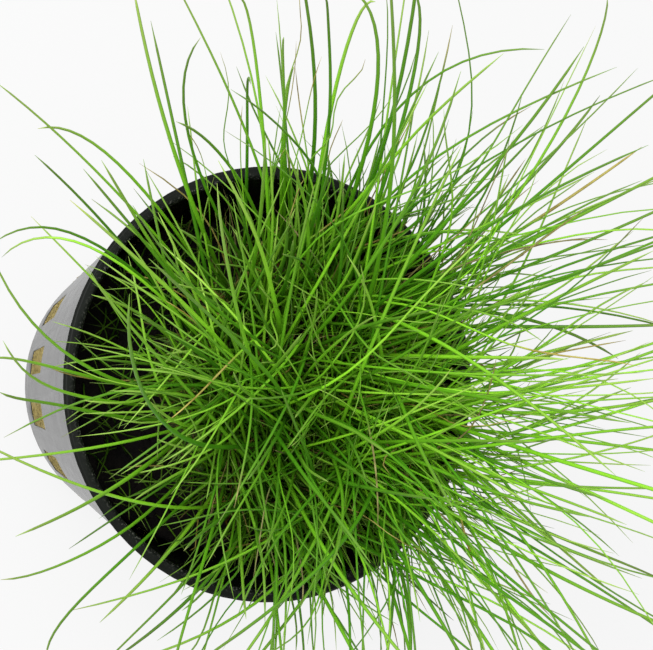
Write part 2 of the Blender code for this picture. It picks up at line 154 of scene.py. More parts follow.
# Plantlets, with angles in degrees
TUFT_COUNT = 40
BLADES_PER_TUFT = 6
SECTOR = 360 / BLADES_PER_TUFT
CLUMP_CENTRE = np.array([2.4, 7.4]) * MM
CLUMP_RADII = np.array([15.8, 12.6]) * MM
CLUMP_REACH = 19.9 * MM
CROWN_RADIUS = 1.2 * MM
CROWN_HEIGHT = 1.2 * MM
CROWN_ROOT_SHARE = 0.62
BLADE_RADIUS = 0.3 * MM
BLADE_GAP = 0.15 * MM
BLADE_RINGS = (0.06, 0.3, 0.55, 0.8)
BLADE_LENGTHS = (46 * MM, 104 * MM)
LENGTH_POWER = 1.8  # above 1, short blades outnumber long ones
EDGE_LEAN = 46
EDGE_LEAN_POWER = 1.2
CLUMP_LEAN = 12
CLUMP_HEADING = 50
HEADING_SCATTER = 76
LEAN_SCATTER = 14
DIVERGENCE = (8, 36)
BEND = (-8, 38)
SWAY_SCATTER = 22
MOST_LEAN = 68
MOST_END_LEAN = 120
RIM_LEAN_SHARE = 0.65
HELD_BACK_BEND = 0.6
SHORT_SIDES = ((270, 0.34, 1), (135, 0.45, 4))  # azimuth, most that is cut from a blade, narrowness
FULL_CUT_LEAN = 45
TRIES = 120
SHRINK_PER_TRY = 0.985
SAMPLES_PER_STRETCH = 16
STRAYS_PER_TUFT = 2
STRAY_LEAN_SHARE = 0.8
SEED = 6

# Form and colour of every blade
BLADE_TAPER = 0.5
POINT_SHARE = 0.08  # of a blade's length
BLUNT_TIP = 0.3
END_RADIUS = 0.45
OLD_BROWNING = (0.12, 0.5)
BROWN_TIP_SHARE = 0.22
TIP_BROWNING = (0.01, 0.07)
BROWN_FADE = 0.10
TUFT_TINT = (0.64, 0.16)  # middle and scatter, where 0 is deep green and 1 is lime
TINT_SCATTER = 0.32
MOST_LIME = 0.9
SIDE_DEPTH = 0.3  # how much deeper green the plantlets at the clump's X ends are
MOUTH_LIME = 0.16  # how much more lime those by the open side of the mouth are
DEEP_SIDES = ((340, 0.6), (185, 0.38))  # azimuth of a blade's tip, and how much deeper green it is there
SHADE_FLOOR = 38 * MM  # blades below this height are darkest
SHADE_DEPTH = 27 * MM
LEAST_LIGHT = 0.26
OLIVE_REACH = 22 * MM  # from the rim outwards, where the green turns olive
OLIVE_SHARE = 0.4

# Kinds of blade in a tuft, each with the most of them that a tuft has
STOUT = Kind(BLADES_PER_TUFT, mm(0.19, 0.31), mm(0.3, 0.3), steps=16, sides=6)
FINE = Kind(3, mm(0.13, 0.22), mm(0.2, 1.4), mm(32, 86), power=LENGTH_POWER, bends=(2, 36), sway=38,
            scatter=38, old_share=0.08)
CROSSING = Kind(4, mm(0.12, 0.21), mm(0.3, 1.8), mm(40, 88), (12, 54), (0, 50), 52, power=1.2, steps=16,
                old_share=0.14)
OVER_MOUTH = Kind(5, mm(0.12, 0.21), mm(0.2, 1.2), mm(22, 62), (24, 70), (0, 46), 64, 68, old_share=0.06)
ACROSS_MOUTH = Kind(4, mm(0.18, 0.3), mm(0.2, 0.8), mm(44, 84), (28, 50), (0, 25), 25, 16, steps=16, sides=6,
                    spread=1, old_share=0)
FAR_SIDE = Kind(4, mm(0.12, 0.21), mm(0.2, 1.4), mm(48, 96), (24, 60), (0, 40), 40, 24, power=1.2,
                old_share=0.06)
MEDIUM = Kind(5, mm(0.10, 0.16), mm(0.1, 0.6), mm(18, 46), (8, 62), (0, 34), 30, steps=11, spread=1.5)
MOUTH_AZIMUTH = 260
ACROSS_AZIMUTHS = (203, 338)  # from the +X half of the clump, and from its -X half
FAR_AZIMUTH = 134
FAR_SHARE = 0.3  # of the far side's blades, on a tuft in the clump's middle
MOST_IN_HOLLOW = 1
LEAST_SPREAD = 0.1
FINE_SHORT_SIDES = ((332, 0.3, 2), (205, 0.25, 2))  # as the short sides, for the finer blades
MOST_FINE_LEAN = 75
FINE_TRIES = 14
LEAN_PER_TRY = 0.88
LENGTH_PER_TRY = 0.95

# Short shoots on the mat, where the leans are the middle one at its edge and their scatter, and around it
MAT_SHOOTS = Kind(700, mm(0.10, 0.16), mm(0.1, 0.4), mm(6, 24), (45, 30), (0, 45), 30, 110, steps=8, sides=4)
FAR_EDGE_SHOOTS = MAT_SHOOTS._replace(count=260, lengths=mm(10, 32), leans=(20, 75), scatter=45)
PLUG_SHOOTS = MAT_SHOOTS._replace(count=110, lengths=mm(8, 26), leans=(10, 75), scatter=90)
FAR_EDGE = (-50, 170)
FAR_EDGE_SHARES = (0.75, 0.98)
PLUG_SHARES = (1.1, 1.9)
PLUG_ROOM = 2 * MM

# Withered blades
LYING = Kind(150, mm(0.08, 0.17), mm(0.5, 1.8), mm(8, 26), (35, 80), (0, 60), 60, 80, 2.2, steps=12, sides=4)
STANDING = LYING._replace(count=24, lengths=mm(18, 44), leans=(10, 45))
DEAD_REACH = 0.9
ALL_BROWN = 1.2

# Blades low over the open side of the mouth, from both ends of the mat
LOW = Kind(50, mm(0.12, 0.26), mm(0.2, 0.8), tint=(0.4, 0.25))
LOW_ROOTS = (mm(-13, 14), mm(-5, 12))  # along X and Y
LOW_ROOT_SHARE = 0.95
LOW_TIPS_X = mm(-2, 4)  # middle and scatter
LOW_TIPS = (mm(-33, -15), mm(52, 76))  # along Y, and up
LOW_CROSSING = (0.5, 1.8)  # how far beyond the middle a blade ends, as a share of its root's X
LOW_RISES = mm(4, 10)
LOW_SCATTER = 2 * MM

# Wavy stems that stand out from the clump's -X side
WAVY = Kind(11, mm(0.10, 0.15), mm(0.5, 1.2), mm(38, 60), (24, 37), (-5, 12), 10, 7, 4, steps=24, sides=4)
WAVY_AZIMUTH = 202
WAVY_ROOT = np.array([-11, 2]) * MM
WAVY_ROOT_SCATTER = mm(1.5, 2.5)
WAVY_TINTS = (0.3, 0.9)
WAVY_AGES = (0, 0.3)

# Blades that stand out from the clump, in millimetres: root (x, y), middle (x, y, z), tip (x, y, z)
STRAY_BLADES = (
    ((-7, -3), (-27, -17, 70), (-45, -26, 85)),
    ((-6, 2), (-23, -21, 62), (-36, -41, 80)),
    ((-6, 0), (-26, -20, 61), (-31, -35, 74)),
    ((-3, -2), (-17, -20, 58), (-28, -36, 76)),
    ((-4, -3), (-18, -26, 66), (-19, -41, 75)),
    ((-2, -3), (-17, -27, 70), (-18, -37, 62)),
    ((2, -2), (-4, -27, 62), (-18, -42, 78)),
    ((3, -3), (-1, -30, 65), (-8, -43, 81)),
    ((1, -3), (-4, -29, 61), (-6, -42, 73)),
    ((4, -3), (1, -27, 60), (-3, -42, 76)),
    ((6, -2), (16, -25, 58), (18, -43, 72)),
    ((7, 0), (20, -28, 64), (26, -40, 80)),
    ((-8, 3), (-28, -16, 72), (-38, -22, 95)),
    ((-9, 6), (-25, -7, 62), (-31, -21, 80)),
    ((-11, 10), (-32, 10, 72), (-36, 21, 90)),
    ((0, 18), (-27, 26, 80), (-40, 21, 105)),
    ((3, 2), (-7, -17, 85), (-21, -30, 118)),
    ((0, 8), (-10, -18, 80), (-20, -34, 104)),
    ((8, 4), (3, -24, 80), (-12, -35, 104)),
    ((-12, 4), (-32, -5, 73), (-39, -9, 86)),
    ((-13, 6), (-30, -3, 68), (-36, -6, 80)),
    ((-11, 1), (-31, -8, 69), (-35, -11, 79)),
    ((-5, 4), (-35, -10, 79), (-43, -16, 90)),
    ((-8, 7), (-34, -2, 80), (-42, -9, 96)),
    ((-8, 8), (-35, 1, 75), (-42, 1, 88)),
    ((-11, 11), (-33, 4, 80), (-43, -3, 92)),
    ((-7, 10), (-31, 9, 77), (-43, 5, 90)),
)

# Camera
CAMERA_PLACE = (-0.00686, -0.10666, 0.33049)
CAMERA_TILT = 22.17
CAMERA_ROLL = 4.61
CAMERA_LENS = 131.39
CAMERA_SENSOR = 36

# Light and floor
SKY = 0.85
KEY_POWER = 3.4
KEY_SIZE = 0.35
KEY_PLACE = (-0.12, -0.20, 0.42)
KEY_AIM = (0, 0, 0.05)
FLOOR_HALF = 3.0
FLOOR_COLOUR = 0.06
FLOOR_GLOW = 0.84

GROWTH_SEED = 5  # of all growth but the stout blades' plan


def wall_radius(z):
    """Outer radius of the pot's tapered wall at a height."""
    return FOOT_RADIUS + (TOP_WALL_RADIUS - FOOT_RADIUS) * z / POT_HEIGHT


def bore_radius(z):
    return wall_radius(z) - WALL


def lumps(x, y, size):
    """A smooth uneven surface, between about -size and size."""
    along_x, along_y, across = WAVES
    checks = math.sin(along_x * x + WAVE_PHASES[0]) * math.cos(along_y * y)
    ridges = math.sin(across * (x + y) + WAVE_PHASES[1])
    return size * 0.5 * (checks + ridges)


def wool_top(x, y):
    return WOOL_TOP + WOOL_SLOPE * y + lumps(x, y, WOOL_LUMPS)


def mat_share(x, y):
    """How far a place is from the mat's middle, where 1 is the mat's edge."""
    return np.linalg.norm((np.array([x, y]) - MAT_CENTRE) / MAT_RADII)


def mat_top(x, y):
    plane = MAT_TOP + MAT_SLOPE * (y - MAT_CENTRE[1])
    return plane - MAT_DOME * mat_share(x, y) ** 2 + lumps(x, y, MAT_LUMPS)


def mat_outline(angle, share):
    """A point of the mat's outline, or of a smaller copy: uneven, and flattened along the pot's wall."""
    uneven = 1 + sum(size * math.sin(waves * angle + phase) for size, waves, phase in MAT_EDGE_WAVES)
    edge = MAT_CENTRE + MAT_RADII * uneven * np.array([math.cos(angle), math.sin(angle)])
    edge *= min(1, MAT_REACH / np.linalg.norm(edge))
    return MAT_CENTRE + share * (edge - MAT_CENTRE)


def in_hollow(x, y):
    """Whether a place on the mat lies in a gap of the growth, where the mat's colour is painted shade."""
    return any(math.hypot(x - hollow[0], y - hollow[1]) < HOLLOW_RADIUS for hollow in HOLLOWS)


def direction(azimuth, lean):
    """The unit vector that leans this many degrees from upright."""
    a = math.radians(azimuth)
    b = math.radians(lean)
    return np.array([math.sin(b) * math.cos(a), math.sin(b) * math.sin(a), math.cos(b)])


def azimuth_and_lean(vector):
    upright = vector[2] / np.linalg.norm(vector)
    return math.degrees(math.atan2(vector[1], vector[0])), math.degrees(math.acos(min(1, upright)))


def turned(vector, axis, degrees):
    """The vector turned about a unit axis."""
    angle = math.radians(degrees)
    along = axis * np.dot(axis, vector) * (1 - math.cos(angle))
    return vector * math.cos(angle) + np.cross(axis, vector) * math.sin(angle) + along


def leaned(vector, azimuth, degrees):
    """The vector tipped over towards an azimuth."""
    axis = direction(azimuth + 90, 90)
    return turned(vector, axis, degrees)


def curve_point(curve, t):
    root, middle, tip = curve
    return (1 - t) ** 2 * root + 2 * t * (1 - t) * middle + t**2 * tip


def lean_to_clear_rim(root, azimuth):
    """The most that a blade can lean where it leaves its root and still pass inside the rim."""
    heading = direction(azimuth, 90)[:2]
    radius = RIM_RADIUS - LIP_WIDTH - 2 * GAP
    along = float(root[:2] @ heading)
    reach = -along + math.sqrt(max(0.0, along**2 + radius**2 - float(root[:2] @ root[:2])))
    return math.degrees(math.atan2(reach, POT_HEIGHT + 2 * GAP - root[2]))


def bent_blade(root, azimuth, lean, bend, sway, length):
    """A blade as a quadratic curve: it leaves its root at one lean and ends further over."""
    start = min(lean, RIM_LEAN_SHARE * lean_to_clear_rim(root, azimuth))
    end = min(lean + bend + HELD_BACK_BEND * (lean - start), MOST_END_LEAN)
    middle = root + direction(azimuth, start) * length / 2
    return root, middle, middle + direction(azimuth + sway, end) * length / 2


def side_share(azimuth, lean, sides=SHORT_SIDES):
    """The share of its length that a blade keeps: those that lie over towards a short side are shorter."""
    cut = 0
    for side, most, narrowness in sides:
        cut += most * max(0, math.cos(math.radians(azimuth - side))) ** narrowness
    return 1 - cut * min(1, lean / FULL_CUT_LEAN)


def random_length(rng):
    shortest, longest = BLADE_LENGTHS
    return shortest + (longest - shortest) * rng.random() ** LENGTH_POWER


def nearest_gaps(start, end, starts, ends):
    """The least distance from one straight stretch to each of many others."""
    u = end - start
    v = ends - starts
    w = start - starts
    uu = u @ u
    vv = (v * v).sum(axis=1)
    uv = v @ u
    uw = w @ u
    vw = (v * w).sum(axis=1)
    s = np.clip((uv * vw - vv * uw) / np.maximum(uu * vv - uv * uv, 1e-18), 0, 1)
    t = np.clip((uv * s + vw) / vv, 0, 1)
    s = np.clip((uv * t - uw) / uu, 0, 1)
    return np.linalg.norm(w + s[:, None] * u - t[:, None] * v, axis=1)


class Thicket:
    """The straight stretches of every blade and crown so far, each with the tuft that it belongs to."""

    def __init__(self):
        self.starts = np.empty((0, 3))
        self.ends = np.empty((0, 3))
        self.radii = np.empty(0)
        self.tufts = np.empty(0, int)

    def add(self, points, radius, tuft):
        self.starts = np.vstack([self.starts, points[:-1]])
        self.ends = np.vstack([self.ends, points[1:]])
        count = len(points) - 1
        self.radii = np.append(self.radii, [radius] * count)
        self.tufts = np.append(self.tufts, [tuft] * count)

    def is_clear(self, points, tuft):
        """Whether a blade keeps its gap; where it leaves its crown it may touch its own tuft."""
        own = self.tufts == tuft
        needed = self.radii + BLADE_RADIUS + BLADE_GAP
        needed[own & (self.radii > BLADE_RADIUS)] = 0
        for i, (start, end) in enumerate(zip(points, points[1:])):
            too_near = nearest_gaps(start, end, self.starts, self.ends) < needed
            if i == 0:
                too_near &= ~own
            if too_near.any():
                return False
        return True


def is_clear_of_holder(points):
    """Whether a blade keeps off the mat, the plug and the pot's wall and lip."""
    room = BLADE_RADIUS + GAP
    for start, end in zip(points, points[1:]):
        for share in np.linspace(0, 1, SAMPLES_PER_STRETCH):
            x, y, z = start + (end - start) * share
            if z >= POT_HEIGHT + room:
                continue
            distance = math.hypot(x, y)
            if bore_radius(z) - room < distance < RIM_RADIUS + room:
                return False
            below = mat_top(x, y) if mat_share(x, y) < MAT_ROOM else wool_top(x, y)
            if distance < RIM_RADIUS and z < below + room:
                return False
    return True


def blade_nodes(curve):
    return [curve_point(curve, t) for t in (0, *BLADE_RINGS, 1)]


def crown_corners(centre, spin):
    """The crown's top corners, counter-clockwise from above."""
    return [centre + CROWN_RADIUS * direction(spin + SECTOR * k, 90) for k in range(BLADES_PER_TUFT)]


def crown_spots():
    """Crown tops, spaced evenly over the clump as seeds are in a sunflower head."""
    golden = 180 * (3 - math.sqrt(5))
    spots = []
    for i in range(TUFT_COUNT):
        share = math.sqrt((i + 0.5) / TUFT_COUNT)
        spot = CLUMP_CENTRE + CLUMP_RADII * share * direction(golden * i, 90)[:2]
        x, y = spot * min(1, CLUMP_REACH / np.linalg.norm(spot))
        under = [np.array([x, y, 0])] + crown_corners(np.array([x, y, 0]), 0)
        base = max(mat_top(point[0], point[1]) for point in under) + GAP
        spots.append(np.array([x, y, base + CROWN_HEIGHT]))
    return spots


def tuft_heading(spot, rng):
    """The direction that a tuft's blades share: outwards from the clump's middle, and towards +Y."""
    outward = spot[:2] - CLUMP_CENTRE
    share = np.linalg.norm(outward / CLUMP_RADII)
    azimuth = math.degrees(math.atan2(outward[1], outward[0])) + rng.gauss(0, HEADING_SCATTER)
    lean = max(0, EDGE_LEAN * share**EDGE_LEAN_POWER + rng.gauss(0, LEAN_SCATTER))
    return azimuth_and_lean(leaned(direction(azimuth, lean), CLUMP_HEADING, CLUMP_LEAN))


def stray_blades_of(spots):
    """Each stray blade's middle and tip, listed under the nearest crown that still has room for it."""
    found = {i: [] for i in range(len(spots))}
    for root, middle, tip in STRAY_BLADES:
        near = sorted(found, key=lambda i: np.hypot(*(spots[i][:2] - np.array(root) * MM)))
        home = next(i for i in near if len(found[i]) < STRAYS_PER_TUFT)
        found[home].append((np.array(middle) * MM, np.array(tip) * MM))
    return found


def through_middle(root, middle, tip):
    """The quadratic curve from root to tip that passes through the middle point."""
    return root, 2 * middle - (root + tip) / 2, tip


class Tuft:
    """One plantlet: its crown, the roots of its blades, and its blades' curves by sector."""

    def __init__(self, number, spot, rng):
        self.number = number
        self.spot = spot
        self.spin = rng.uniform(0, SECTOR)
        self.sectors = [self.spin + SECTOR * (k + 0.5) for k in range(BLADES_PER_TUFT)]
        out = CROWN_ROOT_SHARE * CROWN_RADIUS
        self.roots = [spot + out * direction(sector, 90) for sector in self.sectors]
        self.curves = [None] * BLADES_PER_TUFT
        self.heading = tuft_heading(spot, rng)

    def add_stray(self, middle, tip):
        """Grows a stray blade from the free sector that faces it most, and turns the others its way."""
        azimuth, lean = azimuth_and_lean(middle - self.spot)
        free = [k for k, curve in enumerate(self.curves) if curve is None]
        k = min(free, key=lambda k: abs((self.sectors[k] - azimuth + 180) % 360 - 180))
        self.curves[k] = through_middle(self.roots[k], middle, tip)
        self.heading = azimuth, lean * STRAY_LEAN_SHARE

    def grow(self, k, rng, thicket):
        """Grows a random blade in a sector, clear of all that stands, or none if every try fails."""
        shrink = 1
        for _ in range(TRIES):
            away = leaned(direction(*self.heading), self.sectors[k], rng.uniform(*DIVERGENCE))
            azimuth, lean = azimuth_and_lean(away)
            lean = min(lean, MOST_LEAN) * shrink
            length = random_length(rng) * side_share(azimuth, lean) * shrink
            bend = rng.uniform(*BEND)
            curve = bent_blade(self.roots[k], azimuth, lean, bend, rng.gauss(0, SWAY_SCATTER), length)
            nodes = blade_nodes(curve)
            if is_clear_of_holder(nodes) and thicket.is_clear(nodes, self.number):
                thicket.add(nodes, BLADE_RADIUS, self.number)
                self.curves[k] = curve
                return
            shrink *= SHRINK_PER_TRY


def plan_tufts():
    """Every tuft with its blades: first the stray blades, then the rest from the clump's edge inwards."""
    rng = random.Random(SEED)
    spots = crown_spots()
    strays = stray_blades_of(spots)
    thicket = Thicket()
    tufts = [Tuft(i, spot, rng) for i, spot in enumerate(spots)]
    for tuft in tufts:
        foot = tuft.spot - np.array([0, 0, CROWN_HEIGHT])
        thicket.add([foot, tuft.spot], CROWN_RADIUS, tuft.number)
    for tuft in tufts:
        for middle, tip in strays[tuft.number]:
            tuft.add_stray(middle, tip)
        for curve in tuft.curves:
            if curve is not None:
                thicket.add(blade_nodes(curve), BLADE_RADIUS, tuft.number)
    for tuft in reversed(tufts):
        for k in range(BLADES_PER_TUFT):
            if tuft.curves[k] is None:
                tuft.grow(k, rng, thicket)
    return tufts


# Meshes


def ring_faces(index):
    """The corners of the faces between rings of points, from the points' numbers, ring by ring."""
    after = np.roll(index, -1, axis=1)
    return np.stack([index[:-1], after[:-1], after[1:], index[1:]], axis=-1).reshape(-1)


ANY_DIRECTION = (0.36, 0.48, 0.8)  # only so that no blade starts along it


class Strands:
    """Fine tapered tubes gathered into one mesh, with what their material reads kept at each point."""

    def __init__(self):
        self.points = []
        self.loops = []
        self.sizes = []
        self.values = {"along": [], "tint": [], "age": []}
        self.count = 0

    def add(self, path, radii, sides, tint, age):
        """A closed tube along a path, with a radius at each of its points."""
        path = np.asarray(path)
        ahead = np.gradient(path, axis=0)
        ahead /= np.linalg.norm(ahead, axis=1)[:, None]
        side = np.cross(ahead[0], ANY_DIRECTION)
        firsts = []
        for tangent in ahead:
            side = side - tangent * (side @ tangent)
            side /= np.linalg.norm(side)
            firsts.append(side)
        first = np.array(firsts)[:, None]
        second = np.cross(ahead, firsts)[:, None]
        turn = (np.arange(sides) * math.tau / sides)[None, :, None]
        ring = np.cos(turn) * first + np.sin(turn) * second
        points = path[:, None] + ring * np.asarray(radii)[:, None, None]
        rows = len(path)
        index = self.count + np.arange(rows * sides).reshape(rows, sides)
        self.points.append(points.reshape(-1, 3))
        self.loops += [ring_faces(index), index[0][::-1], index[-1]]
        self.sizes += [4] * ((rows - 1) * sides) + [sides, sides]
        self.count += rows * sides
        self.values["along"].append(np.repeat(np.linspace(0, 1, rows), sides))
        self.values["tint"].append(np.full(rows * sides, tint))
        self.values["age"].append(np.full(rows * sides, age))

    def make(self, name, surface):
        mesh = mesh_of(name, np.concatenate(self.points), np.concatenate(self.loops), self.sizes)
        for key, parts in self.values.items():
            mesh.attributes.new(key, "FLOAT", "POINT").data.foreach_set("value", np.concatenate(parts))
        return piece_of(name, mesh, surface)


def read_points(mesh, key="co"):
    points = np.empty(len(mesh.vertices) * 3)
    mesh.vertices.foreach_get(key, points)
    return points.reshape(-1, 3)


def write_points(mesh, points):
    mesh.vertices.foreach_set("co", points.ravel())
    mesh.update()


def mesh_of(name, points, loops, sizes):
    """A smooth mesh from its points, its faces' corners and each face's number of corners."""
    mesh = bpy.data.meshes.new(name)
    sizes = np.asarray(sizes)
    mesh.vertices.add(len(points))
    mesh.vertices.foreach_set("co", np.ascontiguousarray(points, dtype=np.float32).ravel())
    mesh.loops.add(len(loops))
    mesh.loops.foreach_set("vertex_index", np.asarray(loops, dtype=np.int32))
    mesh.polygons.add(len(sizes))
    mesh.polygons.foreach_set("loop_start", np.concatenate([[0], np.cumsum(sizes)[:-1]]))
    mesh.update(calc_edges=True)
    mesh.shade_smooth()
    return mesh


def piece_of(name, mesh, surface):
    """A piece of the model that rides on its only body."""
    mesh.materials.append(surface)
    piece = bpy.data.objects.new(name, mesh)
    bpy.context.scene.collection.objects.link(piece)
    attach(piece, "root")
    return piece


# Materials


class Surface:
    """A Principled material with short ways to add the nodes that drive it."""

    def __init__(self, name, roughness=0.5, specular=0.5):
        self.material = bpy.data.materials.new(name)
        self.material.use_nodes = True
        self.tree = self.material.node_tree
        self.shader = self.tree.nodes["Principled BSDF"]
        self.shader.inputs["Roughness"].default_value = roughness
        self.shader.inputs["Specular IOR Level"].default_value = specular

    def node(self, kind, **settings):
        made = self.tree.nodes.new(kind)
        for key, value in settings.items():
            setattr(made, key, value)
        return made

    def link(self, output, target):
        self.tree.links.new(output, target)

    def value(self, name):
        """A number that the mesh keeps at each point."""
        return self.node("ShaderNodeAttribute", attribute_name=name).outputs["Fac"]

    def place(self):
        return self.node("ShaderNodeNewGeometry").outputs["Position"]

    def coordinates(self):
        """X, Y and Z of each place."""
        made = self.node("ShaderNodeSeparateXYZ")
        self.link(self.place(), made.inputs[0])
        return made.outputs

    def math(self, operation, *inputs, clamp=False):
        made = self.node("ShaderNodeMath", operation=operation, use_clamp=clamp)
        for socket, value in zip(made.inputs, inputs):
            self.feed(socket, value)
        return made.outputs[0]

    def distance(self, x, y):
        """How far a level place is from the origin."""
        return self.math("SQRT", self.math("ADD", self.math("MULTIPLY", x, x), self.math("MULTIPLY", y, y)))

    def rise(self, value, start, width):
        """0 up to the start, and 1 from a width past it."""
        return self.math("DIVIDE", self.math("SUBTRACT", value, start), width, clamp=True)

    def feed(self, socket, value):
        if isinstance(value, bpy.types.NodeSocket):
            self.link(value, socket)
        elif isinstance(value, tuple):
            socket.default_value = (*value, 1)
        else:
            socket.default_value = value

    def noise(self, scale, detail=3.0, roughness=0.55):
        """Noise from about 0.3 to 0.7, with this many waves per metre."""
        made = self.node("ShaderNodeTexNoise")
        self.link(self.place(), made.inputs["Vector"])
        made.inputs["Scale"].default_value = scale
        made.inputs["Detail"].default_value = detail
        made.inputs["Roughness"].default_value = roughness
        return made.outputs["Fac"]

    def ramp(self, factor, stops):
        """A colour or grey for each factor, from (place, colour) stops."""
        made = self.node("ShaderNodeValToRGB")
        elements = made.color_ramp.elements
        for _ in range(len(stops) - 2):
            elements.new(0.5)
        for element, (place, colour) in zip(elements, stops):
            element.position = place
            element.color = (*colour, 1) if isinstance(colour, tuple) else (colour, colour, colour, 1)
        self.feed(made.inputs["Fac"], factor)
        return made.outputs["Color"]

    def mix(self, factor, first, second, blend="MIX"):
        made = self.node("ShaderNodeMix", data_type="RGBA", blend_type=blend)
        self.feed(made.inputs[0], factor)
        self.feed(made.inputs[6], first)
        self.feed(made.inputs[7], second)
        return made.outputs[2]

    def colour(self, value):
        self.feed(self.shader.inputs["Base Color"], value)

    def roughness(self, value):
        self.feed(self.shader.inputs["Roughness"], value)

    def bump(self, height, distance, strength=1.0):
        made = self.node("ShaderNodeBump")
        made.inputs["Distance"].default_value = distance
        made.inputs["Strength"].default_value = strength
        self.link(height, made.inputs["Height"])
        self.link(made.outputs["Normal"], self.shader.inputs["Normal"])


def blade_surface():
    """Fresh green: "tint" turns it from deep to lime, and "age" browns it from the tip."""
    s = Surface("blade_green", specular=0.095)
    along = s.value("along")
    tint = s.value("tint")
    deep = s.ramp(along, [
        (0.0, (0.15, 0.17, 0.03)),
        (0.1, (0.02, 0.12, 0.002)),
        (0.45, (0.038, 0.18, 0.005)),
        (0.75, (0.055, 0.16, 0.012)),
        (1.0, (0.09, 0.16, 0.03)),
    ])
    lime = s.ramp(along, [
        (0.0, (0.42, 0.44, 0.12)),
        (0.12, (0.20, 0.56, 0.012)),
        (0.45, (0.29, 0.70, 0.028)),
        (0.75, (0.25, 0.48, 0.042)),
        (1.0, (0.29, 0.41, 0.09)),
    ])
    green = s.mix(tint, deep, lime)
    green = s.mix(s.math("MULTIPLY", s.noise(260, detail=2), 0.35), green, (0.14, 0.38, 0.012))
    x, y, z = s.coordinates()
    outside = s.rise(s.distance(x, y), RIM_RADIUS, OLIVE_REACH)
    olive = s.mix(tint, (0.11, 0.13, 0.035), (0.30, 0.36, 0.10))
    green = s.mix(s.math("MULTIPLY", outside, OLIVE_SHARE), green, olive)
    old = s.rise(s.value("age"), s.math("SUBTRACT", 1, along), BROWN_FADE)
    dull = s.ramp(s.noise(420), [(0.3, (0.08, 0.07, 0.025)), (0.7, (0.26, 0.24, 0.10))])
    bright = s.ramp(s.noise(420), [(0.3, (0.20, 0.15, 0.02)), (0.7, (0.44, 0.38, 0.09))])
    straw = s.mix(tint, dull, bright)
    shade = s.ramp(s.rise(z, SHADE_FLOOR, SHADE_DEPTH), [(0.0, LEAST_LIGHT), (1.0, 1.0)])
    s.colour(s.mix(1.0, s.mix(old, green, straw), shade, blend="MULTIPLY"))
    s.roughness(s.ramp(s.noise(900, detail=1), [(0.3, 0.34), (0.7, 0.5)]))
    s.bump(s.noise(2600, detail=1), 0.03 * MM, 0.5)
    return s.material


def plastic_surface():
    """Black moulded plastic, with a little pale dust in patches and painted highlight specks along the lip's
    inner edge.
    """
    s = Surface("black_plastic", specular=0.115)
    s.shader.inputs["IOR"].default_value = 1.5
    x, y, z = s.coordinates()
    off_edge = s.math("ABSOLUTE", s.math("SUBTRACT", s.distance(x, y), RIM_RADIUS - LIP_WIDTH))
    at_edge = s.rise(LIP_EDGE_BAND, off_edge, LIP_EDGE_BAND)
    on_top = s.math("GREATER_THAN", z, POT_HEIGHT - LIP_HEIGHT)
    # painted highlight: pale specks along the lip's inner edge stand in for glints off its rough edge
    glint_specks = s.ramp(s.noise(3400, detail=3, roughness=0.8), [(0.56, 0.0), (0.68, 1.0)])
    edge_glints = s.math("MULTIPLY", s.math("MULTIPLY", at_edge, on_top), glint_specks)
    dust = s.ramp(s.noise(140, detail=6, roughness=0.7), [(0.45, 0.0), (0.75, 0.22)])
    specks = s.ramp(s.noise(2600, detail=2), [(0.6, 0.0), (0.72, 1.0)])
    pale = s.math("MULTIPLY", dust, specks)
    black = s.mix(pale, (0.003, 0.004, 0.0028), (0.08, 0.075, 0.065))
    # the pale grey here is painted highlight, not wear
    s.colour(s.mix(edge_glints, black, (0.16, 0.16, 0.14)))
    shine = s.math("MULTIPLY_ADD", s.noise(320, detail=2), 0.1, 0.17)
    s.roughness(s.math("MULTIPLY_ADD", on_top, 0.3, shine))
    return s.material


def wool_surface():
    """Tan fibre, stained dark and damp towards the top."""
    s = Surface("mineral_wool", roughness=0.95, specular=0.2)
    _, _, z = s.coordinates()
    height = s.math("ADD", z, s.math("MULTIPLY", s.noise(170, detail=4), DAMP_PATCHES))
    damp = s.rise(height, DAMP_FROM, DAMP_FADE)
    tan = s.ramp(s.noise(900, detail=5, roughness=0.7), [
        (0.32, (0.195, 0.152, 0.054)),
        (0.5, (0.297, 0.236, 0.083)),
        (0.68, (0.374, 0.304, 0.108)),
    ])
    dark = s.ramp(s.noise(700, detail=4), [(0.35, (0.0015, 0.0012, 0.001)), (0.7, (0.006, 0.004, 0.003))])
    s.colour(s.mix(damp, tan, dark))
    s.bump(s.noise(1500, detail=6, roughness=0.75), 0.35 * MM, 0.9)
    return s.material


def mat_surface():
    """Tangled growth between the crowns: brown litter and green moss-like shoots, painted near-black as
    shade in the gaps of the growth.
    """
    s = Surface("runner_litter", roughness=0.85, specular=0.25)
    base = s.ramp(s.noise(520, detail=6, roughness=0.7), [
        (0.36, (0.003, 0.005, 0.001)),
        (0.5, (0.016, 0.024, 0.005)),
        (0.62, (0.07, 0.068, 0.014)),
    ])
    green = s.ramp(s.noise(900, detail=5), [(0.35, (0.012, 0.035, 0.004)), (0.68, (0.07, 0.17, 0.018))])
    growth = s.mix(s.ramp(s.noise(230, detail=3), [(0.42, 0.0), (0.58, 1.0)]), base, green)
    x, y, _ = s.coordinates()
    # painted shade: the mat turns near-black in the gaps of the growth, deep among the blades
    for middle_x, middle_y in HOLLOWS:
        off = s.distance(s.math("SUBTRACT", x, middle_x), s.math("SUBTRACT", y, middle_y))
        inside = s.rise(HOLLOW_RADIUS, off, HOLLOW_RADIUS * GAP_SHADE_FADE)
        growth = s.mix(inside, growth, (0.003, 0.004, 0.001))
    s.colour(growth)
    s.roughness(s.ramp(s.noise(800), [(0.3, 0.55), (0.7, 0.95)]))
    s.bump(s.noise(1400, detail=6, roughness=0.75), 0.6 * MM, 1.0)
    return s.material


